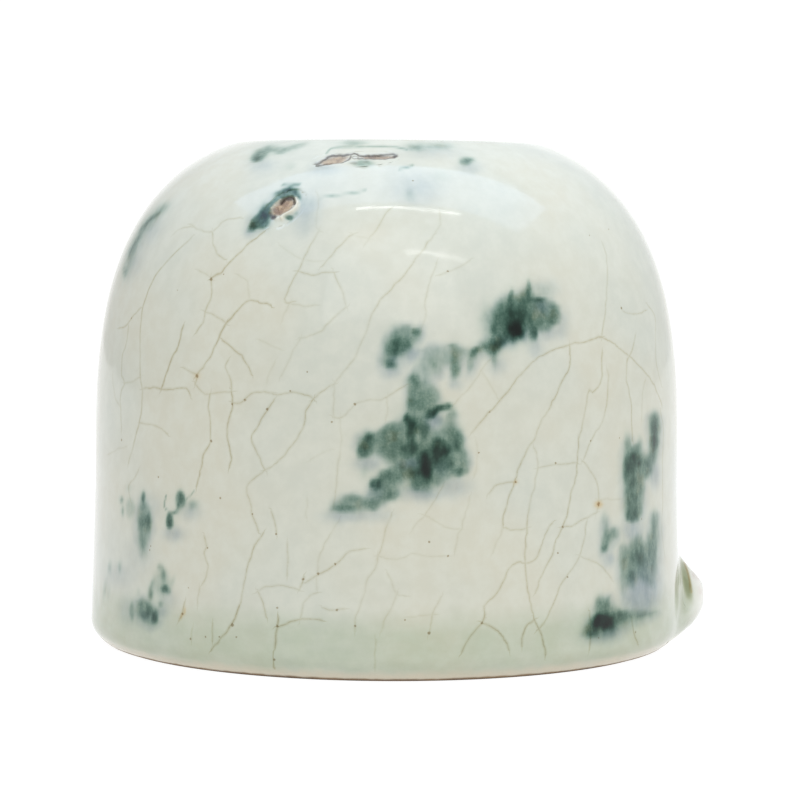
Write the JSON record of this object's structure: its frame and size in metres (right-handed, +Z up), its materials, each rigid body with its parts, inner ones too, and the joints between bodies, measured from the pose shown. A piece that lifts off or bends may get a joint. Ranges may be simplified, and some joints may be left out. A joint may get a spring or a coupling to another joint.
{
  "type": "calligraphy water pot",
  "caption": "Round domed ceramic pot with an upright wall, a flat-topped rim round an open mouth and a small low lug, which holds water for grinding ink and wetting brushes.",
  "frame": {"origin": "on the table, at the middle of the whole pot's box, lug included, so the pot's own axis is 2.3 mm towards -X from it", "axes": "+Z up, -Y to the front that the picture shows, +X to the side with the lug"},
  "size_m": [0.1146, 0.11, 0.092],
  "materials": {
    "body_clay": "fine fired clay, under the glaze",
    "foot_clay": "bare fired clay, toasted tan, worn smooth",
    "scar_clay": "bare broken clay, pinkish tan with brown edges",
    "lug_glaze": "glossy pale glaze, olive where it pools",
    "crackle_glaze": "glossy pale grey-green glaze with tan crackle and blue-green splashes",
    "plain_glaze": "glossy pale grey-green glaze"
  },
  "bodies": {
    "root": {"wall_drum": "body_clay", "shoulder_dome": "body_clay", "floor_disc": "body_clay", "foot_ring": "foot_clay", "foot_lug": "lug_glaze", "shoulder_stub": "scar_clay", "crown_stub": "scar_clay", "outer_glaze": "crackle_glaze", "inner_glaze": "plain_glaze", "base_glaze": "plain_glaze"}
  },
  "joints": []
}
